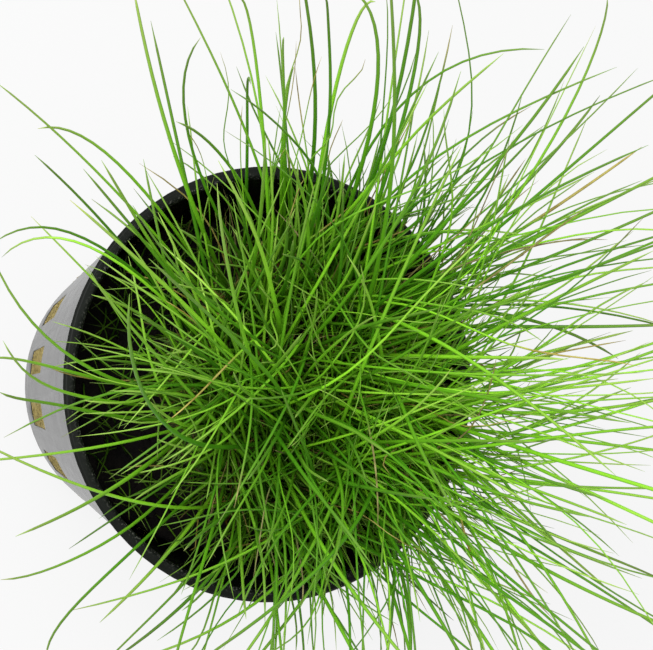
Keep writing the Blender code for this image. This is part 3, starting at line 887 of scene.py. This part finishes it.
def runner_surface():
    """Creeping runners: whitish green where young, tan and dark brown where old."""
    s = Surface("runner_skin", specular=0.1)
    skin = s.ramp(s.value("tint"), [
        (0.0, (0.012, 0.007, 0.003)),
        (0.35, (0.09, 0.045, 0.008)),
        (0.65, (0.38, 0.24, 0.04)),
        (1.0, (0.34, 0.42, 0.06)),
    ])
    blotch = s.ramp(s.noise(600, detail=4), [(0.35, 0.35), (0.65, 1.0)])
    s.colour(s.mix(1.0, skin, blotch, blend="MULTIPLY"))
    s.roughness(s.ramp(s.noise(900), [(0.3, 0.4), (0.7, 0.7)]))
    s.bump(s.noise(2200, detail=3), 0.04 * MM, 0.6)
    return s.material


def floor_surface():
    s = Surface("studio_floor", roughness=0.9, specular=0.0)
    s.colour((FLOOR_COLOUR, FLOOR_COLOUR, FLOOR_COLOUR))
    s.shader.inputs["Emission Color"].default_value = (1, 1, 1, 1)
    s.shader.inputs["Emission Strength"].default_value = FLOOR_GLOW
    return s.material


# Pieces


def wiggle(path, rng, size, most_turns=1.5):
    """Bends a path sideways in a slow wave that leaves its root in place."""
    path = np.asarray(path)
    share = np.linspace(0, 1, len(path))[:, None]
    ahead = path[-1] - path[0]
    side = np.cross(ahead, [rng.gauss(0, 1) for _ in range(3)])
    side /= np.linalg.norm(side)
    other = np.cross(ahead, side)
    other /= np.linalg.norm(other)
    turns = rng.uniform(0.6, most_turns)
    phase = rng.uniform(0, math.tau)
    first = np.sin(math.tau * turns * share + phase) - math.sin(phase)
    second = np.cos(math.tau * turns * 0.7 * share + phase) - math.cos(phase)
    return path + size * share**0.5 * (first * side + 0.6 * second * other)


def blade_radii(steps, radius):
    """Radius at each step of a blade: a slight taper, then a short point."""
    share = np.linspace(0, 1, steps + 1)
    point = np.clip((1 - share) / POINT_SHARE, 0, 1) ** 0.5
    radii = radius * (1 - BLADE_TAPER * share**1.5) * (BLUNT_TIP + (1 - BLUNT_TIP) * point)
    radii[-1] *= END_RADIUS
    return radii


def curve_path(curve, steps):
    return [curve_point(curve, t) for t in np.linspace(0, 1, steps + 1)]


def random_tint(rng, middle, scatter, most=1):
    return min(most, max(0, rng.gauss(middle, scatter)))


def random_radii(kind, rng):
    return blade_radii(kind.steps, rng.uniform(*kind.radii))


def random_path(kind, curve, rng):
    return wiggle(curve_path(curve, kind.steps), rng, rng.uniform(*kind.waves), kind.turns)


def age_of(rng, old_share):
    """How far from the tip a blade has browned, as a share of its length."""
    chance = rng.random()
    if chance < old_share:
        return rng.uniform(*OLD_BROWNING)
    if chance < old_share + BROWN_TIP_SHARE:
        return rng.uniform(*TIP_BROWNING)
    return 0.0


def inside_reach(curve):
    """Whether the upper part of a blade stays inside the box of the stout ones."""
    low, high = cad_box
    points = [curve_point(curve, t) for t in (0.7, 1)]
    return all(low[i] <= point[i] <= high[i] for point in points for i in range(3))


def keeps_off_holder(curve):
    """Whether a blade is clear of the pot, the plug and the mat from a little above its root."""
    return is_clear_of_holder([curve_point(curve, t) for t in np.linspace(0.1, 1, 7)])


def fine_blade(kind, root, azimuth, lean, length, rng):
    """A thin blade that keeps off the pot, the plug and the mat, or None."""
    bend = rng.uniform(*kind.bends)
    sway = rng.gauss(0, kind.sway)
    for _ in range(FINE_TRIES):
        curve = bent_blade(root, azimuth, lean, bend, sway, length)
        if keeps_off_holder(curve) and inside_reach(curve):
            return curve
        lean *= LEAN_PER_TRY
        length *= LENGTH_PER_TRY
    return None


def make_tuft(tuft, surface, rng):
    """A plantlet's blades: its stout ones, and the finer ones between them."""
    strands = Strands()
    outward = (tuft.spot[:2] - CLUMP_CENTRE) / CLUMP_RADII
    tuft_tint = rng.gauss(*TUFT_TINT) - SIDE_DEPTH * abs(outward[0]) + MOUTH_LIME * max(0, -outward[1])

    def add(kind, curve, wave):
        tip = curve[2][:2] - CLUMP_CENTRE
        azimuth = math.atan2(tip[1], tip[0])
        deeper = sum(most * max(0, math.cos(azimuth - math.radians(side))) for side, most in DEEP_SIDES)
        tint = random_tint(rng, tuft_tint - deeper, TINT_SCATTER, MOST_LIME)
        path = wiggle(curve_path(curve, kind.steps), rng, wave)
        strands.add(path, random_radii(kind, rng), kind.sides, tint, age_of(rng, kind.old_share))

    def sprout(kind, azimuth, lean):
        shortest, longest = kind.lengths
        length = (shortest + (longest - shortest) * rng.random() ** kind.power) * side_share(azimuth, lean)
        length *= side_share(azimuth, lean, FINE_SHORT_SIDES)
        off_middle = direction(rng.uniform(0, 360), 90) * rng.uniform(LEAST_SPREAD, kind.spread)
        root = tuft.spot + off_middle * CROWN_RADIUS
        return fine_blade(kind, root, azimuth, min(lean, MOST_FINE_LEAN), length, rng)

    def grow(kind, count, aim):
        """Grows blades of a kind, each with the azimuth and lean that aim draws."""
        for _ in range(count):
            curve = sprout(kind, *aim())
            if curve is not None:
                add(kind, curve, rng.uniform(*kind.waves))

    def towards(azimuth, kind):
        return lambda: (azimuth + rng.gauss(0, kind.scatter), rng.uniform(*kind.leans))

    def near_heading():
        away = leaned(direction(*tuft.heading), rng.uniform(0, 360), abs(rng.gauss(0, FINE.scatter)))
        return azimuth_and_lean(away)

    def any_way():
        return rng.uniform(0, 360), rng.uniform(*CROSSING.leans)

    def any_way_from_clump():
        way = direction(rng.uniform(0, 360), rng.uniform(*MEDIUM.leans))
        return azimuth_and_lean(leaned(way, CLUMP_HEADING, CLUMP_LEAN))

    for curve in tuft.curves:
        if curve is not None:
            add(STOUT, curve, STOUT.waves[0])
    hollow = in_hollow(*tuft.spot[:2])
    near_mouth = max(0, -outward[1])
    on_far_side = max(0, outward @ direction(FAR_AZIMUTH, 90)[:2] + FAR_SHARE)
    across_azimuth = ACROSS_AZIMUTHS[0 if outward[0] > 0 else 1]
    grow(FINE, MOST_IN_HOLLOW if hollow else FINE.count, near_heading)
    grow(CROSSING, MOST_IN_HOLLOW if hollow else CROSSING.count, any_way)
    grow(OVER_MOUTH, round(OVER_MOUTH.count * near_mouth), towards(MOUTH_AZIMUTH, OVER_MOUTH))
    grow(ACROSS_MOUTH, round(ACROSS_MOUTH.count * near_mouth), towards(across_azimuth, ACROSS_MOUTH))
    grow(FAR_SIDE, round(FAR_SIDE.count * on_far_side), towards(FAR_AZIMUTH, FAR_SIDE))
    grow(MEDIUM, 0 if hollow else MEDIUM.count, any_way_from_clump)
    made = strands.make(f"tuft_blades_{tuft.number + 1:02d}", surface)
    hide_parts(f"tuft_{tuft.number + 1:02d}")


def on_mat(x, y):
    return np.array([x, y, mat_top(x, y)])


def mat_spot(rng, reach=0.98):
    """A random place on the mat's top."""
    angle = rng.uniform(0, math.tau)
    share = reach * math.sqrt(rng.random())
    return on_mat(*mat_outline(angle, share)), math.degrees(angle), share


def plug_spot(rng):
    """A random place on the plug's top beside the mat, on the open side of the mouth."""
    while True:
        angle = rng.uniform(math.pi, math.tau)
        x, y = mat_outline(angle, rng.uniform(*PLUG_SHARES))
        if math.hypot(x, y) < bore_radius(WOOL_TOP) - PLUG_ROOM:
            return np.array([x, y, wool_top(x, y)]), math.degrees(angle)


def aimed(kind, outward, rng):
    """Azimuth, lean and length of a blade that grows about outwards."""
    return outward + rng.gauss(0, kind.scatter), rng.uniform(*kind.leans), rng.uniform(*kind.lengths)


def short_shoots(rng):
    """Root, azimuth, lean and length of each short shoot."""
    edge_lean, lean_scatter = MAT_SHOOTS.leans
    for _ in range(MAT_SHOOTS.count):
        root, outward, share = mat_spot(rng)
        azimuth = outward + rng.gauss(0, MAT_SHOOTS.scatter)
        lean = abs(edge_lean * share + rng.gauss(0, lean_scatter))
        yield root, azimuth, lean, rng.uniform(*MAT_SHOOTS.lengths)
    for _ in range(FAR_EDGE_SHOOTS.count):
        outward = rng.uniform(*FAR_EDGE)
        root = on_mat(*mat_outline(math.radians(outward), rng.uniform(*FAR_EDGE_SHARES)))
        yield root, *aimed(FAR_EDGE_SHOOTS, outward, rng)
    for _ in range(PLUG_SHOOTS.count):
        root, outward = plug_spot(rng)
        yield root, *aimed(PLUG_SHOOTS, outward, rng)


def make_short_growth(surface, rng):
    """Young shoots that stand on the mat between the crowns, over its far edge and on the plug beside it."""
    strands = Strands()
    for root, azimuth, lean, length in short_shoots(rng):
        curve = fine_blade(MAT_SHOOTS, root, azimuth, lean, length, rng)
        if curve is not None and not in_hollow(*root[:2]):
            add_green(strands, MAT_SHOOTS, curve, rng)
    strands.make("short_growth", surface)


def add_green(strands, kind, curve, rng, most_tint=1):
    path = random_path(kind, curve, rng)
    tint = random_tint(rng, *kind.tint, most_tint)
    strands.add(path, random_radii(kind, rng), kind.sides, tint, age_of(rng, kind.old_share))


def make_dead_blades(surface, rng):
    """Withered blades, straw and brown: some lie across the mat and some stand between the green ones."""
    strands = Strands()
    for kind in [LYING] * LYING.count + [STANDING] * STANDING.count:
        root, outward, _ = mat_spot(rng, DEAD_REACH)
        curve = fine_blade(kind, root, *aimed(kind, outward, rng), rng)
        if curve is not None:
            path = random_path(kind, curve, rng)
            strands.add(path, random_radii(kind, rng), kind.sides, rng.random(), ALL_BROWN)
    strands.make("withered_blades", surface)


def make_mouth_blades(surface, rng):
    """Blades from both ends of the mat that cross each other low over the open side of the mouth."""
    strands = Strands()
    for _ in range(LOW.count):
        x, y = (rng.uniform(*reach) for reach in LOW_ROOTS)
        if mat_share(x, y) > LOW_ROOT_SHARE:
            continue
        root = on_mat(x, y)
        tip_x = rng.gauss(*LOW_TIPS_X) - x * rng.uniform(*LOW_CROSSING)
        tip = np.array([tip_x, *(rng.uniform(*reach) for reach in LOW_TIPS)])
        rise = np.array([rng.gauss(0, LOW_SCATTER), rng.gauss(0, LOW_SCATTER), rng.uniform(*LOW_RISES)])
        curve = through_middle(root, (root + tip) / 2 + rise, tip)
        if keeps_off_holder(curve):
            add_green(strands, LOW, curve, rng, MOST_LIME)
    strands.make("mouth_blades", surface)


def make_wavy_stems(surface, rng):
    """A spray of thin wavy stems that stands out from the clump's -X side."""
    strands = Strands()
    for _ in range(WAVY.count):
        root = on_mat(*(WAVY_ROOT + [rng.gauss(0, scatter) for scatter in WAVY_ROOT_SCATTER]))
        lean = rng.uniform(*WAVY.leans)
        length = rng.uniform(*WAVY.lengths)
        azimuth = rng.gauss(WAVY_AZIMUTH, WAVY.scatter)
        curve = fine_blade(WAVY, root, azimuth, lean, length, rng)
        if curve is not None:
            path = random_path(WAVY, curve, rng)
            radii = random_radii(WAVY, rng)
            strands.add(path, radii, WAVY.sides, rng.uniform(*WAVY_TINTS), rng.uniform(*WAVY_AGES))
    strands.make("wavy_stems", surface)


def ground_height(x, y):
    """Height of the mat, or of the plug around it, with a soft step between them."""
    blend = np.interp(mat_share(x, y), MAT_STEP, (0, 1))
    blend = blend * blend * (3 - 2 * blend)
    return mat_top(x, y) * (1 - blend) + wool_top(x, y) * blend


def make_runners(surface, rng):
    """Creeping runners and fine roots over the mat, down its edge and out over the plug."""
    strands = Strands()
    for _ in range(RUNNERS):
        spot, outward, _ = mat_spot(rng)
        x, y = spot[:2]
        heading = math.radians(rng.uniform(0, 360) if rng.random() < RUNNERS_ANY_WAY else outward)
        turn = rng.gauss(0, 0.10)
        radius = rng.uniform(*RUNNER_RADII)
        lift = rng.uniform(*RUNNER_ARCHES)
        path = []
        for step in range(rng.randint(*RUNNER_STEPS)):
            if mat_share(x, y) > RUNNER_END or math.hypot(x, y) > MAT_REACH:
                break
            arch = abs(math.sin(step * 0.8 + 100 * radius / MM)) * lift
            path.append((x, y, ground_height(x, y) + radius * 0.6 + arch))
            x += RUNNER_STEP * math.cos(heading)
            y += RUNNER_STEP * math.sin(heading)
            heading += turn + rng.gauss(0, 0.16)
        if len(path) > 3 and not in_hollow(*path[0][:2]):
            radii = radius * (1 - 0.5 * np.linspace(0, 1, len(path)) ** 2)
            strands.add(path, radii, 5, random_tint(rng, 0.5, 0.3), 0)
    strands.make("runners", surface)


def smooth_noise(points, scale, seed):
    """Smooth value noise from -1 to 1 at each point."""
    rng = np.random.default_rng(seed)
    size = 24
    grid = rng.uniform(-1, 1, (size, size, size))
    spots = points * scale + 100
    cell = np.floor(spots).astype(int)
    part = spots - cell
    part = part * part * (3 - 2 * part)
    total = np.zeros(len(points))
    for corner in np.ndindex(2, 2, 2):
        weight = np.prod(np.where(np.array(corner), part, 1 - part), axis=1)
        i, j, k = ((cell + corner) % size).T
        total += weight * grid[i, j, k]
    return total


def fractal_noise(points, scale, seed, octaves=4):
    return sum(smooth_noise(points, scale * 2**k, seed + k) * 0.5**k for k in range(octaves))


def lathe(name, rows, surface):
    """A closed round form from rings of points, lowest first, with a middle point at both ends."""
    count = len(rows[0])
    points = np.concatenate([np.concatenate(rows), [np.mean(rows[0], axis=0), np.mean(rows[-1], axis=0)]])
    index = np.arange(len(rows) * count).reshape(len(rows), count)
    after = np.roll(index, -1, axis=1)
    low = np.stack([after[0], index[0], np.full(count, len(points) - 2)], axis=-1).reshape(-1)
    high = np.stack([index[-1], after[-1], np.full(count, len(points) - 1)], axis=-1).reshape(-1)
    sizes = [4] * ((len(rows) - 1) * count) + [3] * (2 * count)
    mesh = mesh_of(name, points, np.concatenate([ring_faces(index), low, high]), sizes)
    return piece_of(name, mesh, surface)


def roughen(piece, size, scale, seed):
    """Moves each point along its normal by fractal noise."""
    mesh = piece.data
    points = read_points(mesh)
    moved = read_points(mesh, "normal") * (size * fractal_noise(points, scale, seed))[:, None]
    write_points(mesh, points + moved)


def make_runner_mat(surface):
    """The mound of litter and runners, rough all over."""
    angles = np.linspace(0, math.tau, MAT_COLUMNS, endpoint=False)

    def level(share, height):
        flat = [mat_outline(angle, share) for angle in angles]
        return np.array([(x, y, height(x, y)) for x, y in flat])

    def underside(x, y):
        return wool_top(x, y) + GAP

    def side(rise):
        return lambda x, y: (1 - rise) * underside(x, y) + rise * mat_top(x, y)

    shares = np.linspace(0.04, 0.96, 24)
    rows = [level(share, underside) for share in (0.3, 0.7, 0.97)]
    rows += [level(1, side(rise)) for rise in (0.1, 0.3, 0.5, 0.7)]
    rows += [level(0.985, side(0.9))]
    rows += [level(share, mat_top) for share in shares[::-1]]
    piece = lathe("runner_litter", rows, surface)
    roughen(piece, 0.55 * MM, 700, 5)
    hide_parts("runner_mat")


def make_wool_plug(surface):
    """The plug of mineral wool, fitted a little inside the pot's wall and matted all over."""
    slots = [FIRST_SLOT + SLOT_SECTOR * k for k in range(SLOT_COUNT)]
    angles = [slot + HALF_SLOT * column for slot in slots for column in SLOT_COLUMNS]
    foot = FLOOR + GAP
    top_radius = bore_radius(WOOL_TOP) - GAP

    def level(share, rise):
        points = []
        for angle in angles:
            edge_top = wool_top(top_radius * math.cos(angle), top_radius * math.sin(angle))
            z = foot + (edge_top - foot) * rise
            radius = share * (bore_radius(z) - GAP - WOOL_ROOM)
            points.append((radius * math.cos(angle), radius * math.sin(angle), z))
        return np.array(points)

    def top(share):
        radius = share * (top_radius - WOOL_ROOM)
        flat = [(radius * math.cos(angle), radius * math.sin(angle)) for angle in angles]
        return np.array([(x, y, wool_top(x, y)) for x, y in flat])

    rows = [level(share, 0) for share in (0.3, 0.6, 0.85, 0.97)]
    rows += [level(1, rise) for rise in np.linspace(0.02, 0.97, 84)]
    rows += [top(share) for share in np.linspace(0.97, 0.05, 24)]
    piece = lathe("wool_body", rows, surface)
    roughen(piece, 0.28 * MM, 520, 9)
    press_into_slots(piece)
    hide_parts("wool_plug")


def press_into_slots(piece):
    """Lets the wool swell through the wall's slots, as it does where the plug is packed in."""
    points = read_points(piece.data)
    angle = np.arctan2(points[:, 1], points[:, 0]) - FIRST_SLOT
    across = np.abs((angle + SLOT_SECTOR / 2) % SLOT_SECTOR - SLOT_SECTOR / 2) / HALF_SLOT
    middle = (SLOT_BOTTOM + SLOT_TOP) / 2
    up = np.abs(points[:, 2] - middle) / (SLOT_TOP - middle)
    reach = np.hypot(points[:, 0], points[:, 1])
    inside = np.interp(across, FADE_ACROSS, (1, 0)) * np.interp(up, FADE_UP, (1, 0))
    inside *= reach > bore_radius(points[:, 2]) - SWELL_DEPTH
    most = np.maximum(reach, wall_radius(points[:, 2]) - SLOT_RECESS)
    swollen = np.minimum(reach + inside * SLOT_SWELL, most)
    points[:, :2] *= (swollen / np.maximum(reach, MM))[:, None]
    write_points(piece.data, points)


def make_wool_fibres(surface, rng):
    """Loose fibres on the plug where it shows: in the wall slots and over its top."""
    strands = Strands()

    def fibre(point, normal, radius):
        ahead = np.cross(normal, [rng.gauss(0, 1) for _ in range(3)])
        ahead /= np.linalg.norm(ahead)
        side = np.cross(normal, ahead)
        length = rng.uniform(*FIBRE_LENGTHS)
        curl = rng.gauss(0, 0.35)
        path = []
        for share in np.linspace(-0.5, 0.5, FIBRE_STEPS):
            lift = FIBRE_ARCH * (0.3 - share * share * rng.uniform(0.6, 1.6))
            path.append(point + ahead * share * length + side * curl * share**2 * length + normal * lift)
        strands.add(path, np.full(FIBRE_STEPS, radius), 3, rng.random(), 0)

    for _ in range(SLOT_FIBRES):
        slot = rng.randrange(SLOT_COUNT)
        angle = FIRST_SLOT + SLOT_SECTOR * slot + rng.uniform(-0.8, 0.8) * HALF_SLOT
        z = rng.uniform(SLOT_BOTTOM + 0.8 * MM, SLOT_TOP - 0.8 * MM)
        normal = np.array([math.cos(angle), math.sin(angle), 0])
        radius = wall_radius(z) - SLOT_RECESS - 0.1 * MM
        fibre(normal * radius + np.array([0, 0, z]), normal, rng.uniform(0.025, 0.05) * MM)
    for _ in range(TOP_FIBRES):
        reach = (bore_radius(WOOL_TOP) - 1.6 * MM) * math.sqrt(rng.random())
        angle = rng.uniform(0, math.tau)
        x, y = reach * math.cos(angle), reach * math.sin(angle)
        point = np.array([x, y, wool_top(x, y) + 0.15 * MM])
        fibre(point, np.array([0, 0, 1.0]), rng.uniform(0.03, 0.06) * MM)
    strands.make("wool_fibres", surface)


def make_net_pot(surface):
    """The pot's moulding, with every sharp edge of its lip, slots and foot rounded."""
    shape = bmesh.new()
    shape.from_mesh(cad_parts["net_pot"].data)
    bmesh.ops.remove_doubles(shape, verts=shape.verts, dist=0.01 * MM)
    bmesh.ops.dissolve_limit(shape, angle_limit=math.radians(1), verts=shape.verts, edges=shape.edges)
    closed = [edge for edge in shape.edges if len(edge.link_faces) == 2]
    sharp = [edge for edge in closed if edge.calc_face_angle() > SHARP_EDGE]
    bmesh.ops.bevel(
        shape, geom=sharp, offset=EDGE_ROUND, segments=3, profile=0.5, affect="EDGES", clamp_overlap=True
    )
    mesh = bpy.data.meshes.new("net_pot_moulding")
    shape.to_mesh(mesh)
    shape.free()
    mesh.shade_smooth()
    mesh.set_sharp_from_angle(angle=CREASE)
    piece = piece_of("net_pot_moulding", mesh, surface)
    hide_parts("net_pot")


def make_camera():
    tilt = math.radians(CAMERA_TILT)
    roll = math.radians(CAMERA_ROLL)
    forward = np.array([0, math.sin(tilt), -math.cos(tilt)])
    level_right = np.array([0, math.cos(tilt), math.sin(tilt)])
    level_down = np.array([1.0, 0, 0])
    right = math.cos(roll) * level_right + math.sin(roll) * level_down
    up = math.sin(roll) * level_right - math.cos(roll) * level_down
    data = bpy.data.cameras.new("camera")
    data.lens = CAMERA_LENS
    data.sensor_width = CAMERA_SENSOR
    data.clip_start = 0.01
    data.clip_end = 10
    camera = bpy.data.objects.new("camera", data)
    turn = Matrix([right, up, -forward]).transposed().to_4x4()
    camera.matrix_world = Matrix.Translation(CAMERA_PLACE) @ turn
    bpy.context.scene.collection.objects.link(camera)
    bpy.context.scene.camera = camera


def make_studio():
    """A pale floor under an even bright sky, with one large soft lamp on the camera's side."""
    scene = bpy.context.scene
    scene.view_settings.view_transform = "Standard"
    world = bpy.data.worlds.new("studio")
    world.use_nodes = True
    sky = world.node_tree.nodes["Background"]
    sky.inputs["Color"].default_value = (1, 1, 1, 1)
    sky.inputs["Strength"].default_value = SKY
    scene.world = world
    lamp_data = bpy.data.lights.new("key", "AREA")
    lamp_data.shape = "DISK"
    lamp_data.size = KEY_SIZE
    lamp_data.energy = KEY_POWER
    lamp = bpy.data.objects.new("key", lamp_data)
    lamp.location = KEY_PLACE
    aim = Vector(KEY_AIM) - lamp.location
    lamp.rotation_mode = "QUATERNION"
    lamp.rotation_quaternion = aim.to_track_quat("-Z", "Y")
    scene.collection.objects.link(lamp)
    mesh = bpy.data.meshes.new("floor")
    corners = [(x * FLOOR_HALF, y * FLOOR_HALF, 0) for x, y in ((-1, -1), (1, -1), (1, 1), (-1, 1))]
    mesh.from_pydata(corners, [], [(0, 1, 2, 3)])
    mesh.materials.append(floor_surface())
    floor = bpy.data.objects.new("floor", mesh)
    scene.collection.objects.link(floor)


def main():
    make_camera()
    make_studio()
    rng = random.Random(GROWTH_SEED)
    blade = blade_surface()
    make_net_pot(plastic_surface())
    wool = wool_surface()
    make_wool_plug(wool)
    make_wool_fibres(wool, rng)
    make_runner_mat(mat_surface())
    make_runners(runner_surface(), rng)
    for tuft in plan_tufts():
        make_tuft(tuft, blade, rng)
    make_short_growth(blade, rng)
    make_dead_blades(blade, rng)
    make_mouth_blades(blade, rng)
    make_wavy_stems(blade, rng)


main()
bpy.context.view_layer.update()
